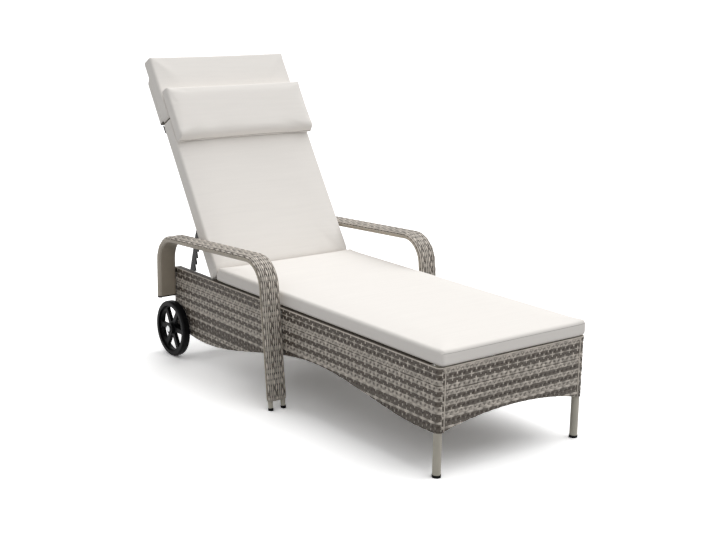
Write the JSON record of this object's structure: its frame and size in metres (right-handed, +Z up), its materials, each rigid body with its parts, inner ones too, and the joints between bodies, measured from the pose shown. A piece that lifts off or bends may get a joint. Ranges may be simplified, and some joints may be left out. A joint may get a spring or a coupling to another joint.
{
  "type": "sun lounger",
  "caption": "Wheeled sun lounger with woven side skirts, tube armrests, a hinged backrest propped on toothed racks, and seat, back and head cushions.",
  "frame": {"origin": "on the floor, at the middle of the lounger's box with the backrest up", "axes": "+X toward the foot end, +Y to the left of a person lying on it, +Z up"},
  "size_m": [1.6806, 0.729, 1.0544],
  "materials": {
    "taupe_powder_coat": "satin",
    "black_powder_coat": "satin",
    "woven_rattan": "woven",
    "black_plastic": "moulded",
    "zinc_steel": "plated",
    "cushion_fabric": "woven",
    "black_elastic": "knitted"
  },
  "bodies": {
    "base": {"arm_bolts": "zinc_steel", "arm_end_plugs": "black_plastic", "arm_foot_caps_left": "black_plastic", "arm_foot_caps_right": "black_plastic", "arm_inner_tube_left": "taupe_powder_coat", "arm_inner_tube_right": "taupe_powder_coat", "arm_outer_tube_left": "taupe_powder_coat", "arm_outer_tube_right": "taupe_powder_coat", "arm_rear_spacers": "black_plastic", "arm_weave_left": "woven_rattan", "arm_weave_right": "woven_rattan", "axle": "zinc_steel", "axle_caps": "zinc_steel", "axle_spacers": "black_plastic", "corner_wrap_left": "woven_rattan", "corner_wrap_right": "woven_rattan", "foot_rail": "taupe_powder_coat", "front_foot_cap_left": "black_plastic", "front_foot_cap_right": "black_plastic", "front_leg_left": "taupe_powder_coat", "front_leg_right": "taupe_powder_coat", "hem_rod_foot": "taupe_powder_coat", "hem_rod_left": "taupe_powder_coat", "hem_rod_right": "taupe_powder_coat", "hinge_bracket_left": "black_powder_coat", "hinge_bracket_right": "black_powder_coat", "hinge_pins": "zinc_steel", "latch_bracket_left": "black_powder_coat", "latch_bracket_right": "black_powder_coat", "latch_rod": "black_powder_coat", "rear_cross_tube": "black_powder_coat", "rear_post_left": "black_powder_coat", "rear_post_right": "black_powder_coat", "seat_cross_tubes": "taupe_powder_coat", "seat_cushion": "cushion_fabric", "side_rail_left": "taupe_powder_coat", "side_rail_right": "taupe_powder_coat", "woven_foot": "woven_rattan", "woven_seat_deck": "woven_rattan", "woven_side_left": "woven_rattan", "woven_side_right": "woven_rattan"},
    "backrest": {"backrest_hinge_tube": "taupe_powder_coat", "backrest_mid_tube": "taupe_powder_coat", "backrest_side_tube_left": "taupe_powder_coat", "backrest_side_tube_right": "taupe_powder_coat", "backrest_top_tube": "taupe_powder_coat", "woven_back": "woven_rattan", "hinge_bushes": "black_plastic", "rack_pivot_bolts": "zinc_steel", "back_cushion": "cushion_fabric", "head_pillow": "cushion_fabric", "pillow_grip_tapes": "black_elastic", "cushion_pocket": "cushion_fabric", "cushion_strap": "black_elastic"},
    "rack": {"prop_rack_left": "black_powder_coat", "prop_rack_right": "black_powder_coat", "rack_tie_rod": "black_powder_coat"},
    "wheel_left": {"wheel_left": "black_plastic"},
    "wheel_right": {"wheel_right": "black_plastic"}
  },
  "joints": [
    {"name": "backrest_recline", "type": "hinge", "parent": "base", "child": "backrest", "pos_m": [-0.3877, 0, 0.311], "axis": [0, -1, 0], "range_deg": [0, 57.3]},
    {"name": "rack_swing", "type": "hinge", "parent": "backrest", "child": "rack", "pos_m": [-0.52924, 0, 0.53148], "axis": [0, 1, 0], "range_deg": [0, 126.1]},
    {"name": "wheel_left_spin", "type": "hinge", "parent": "base", "child": "wheel_left", "pos_m": [-0.6107, 0.312, 0.101], "axis": [0, 1, 0], "continuous": true},
    {"name": "wheel_right_spin", "type": "hinge", "parent": "base", "child": "wheel_right", "pos_m": [-0.6107, -0.312, 0.101], "axis": [0, 1, 0], "continuous": true}
  ],
  "couplings": [
    {"joint": "rack_swing", "follows": "backrest_recline", "ratio": 2.2}
  ]
}
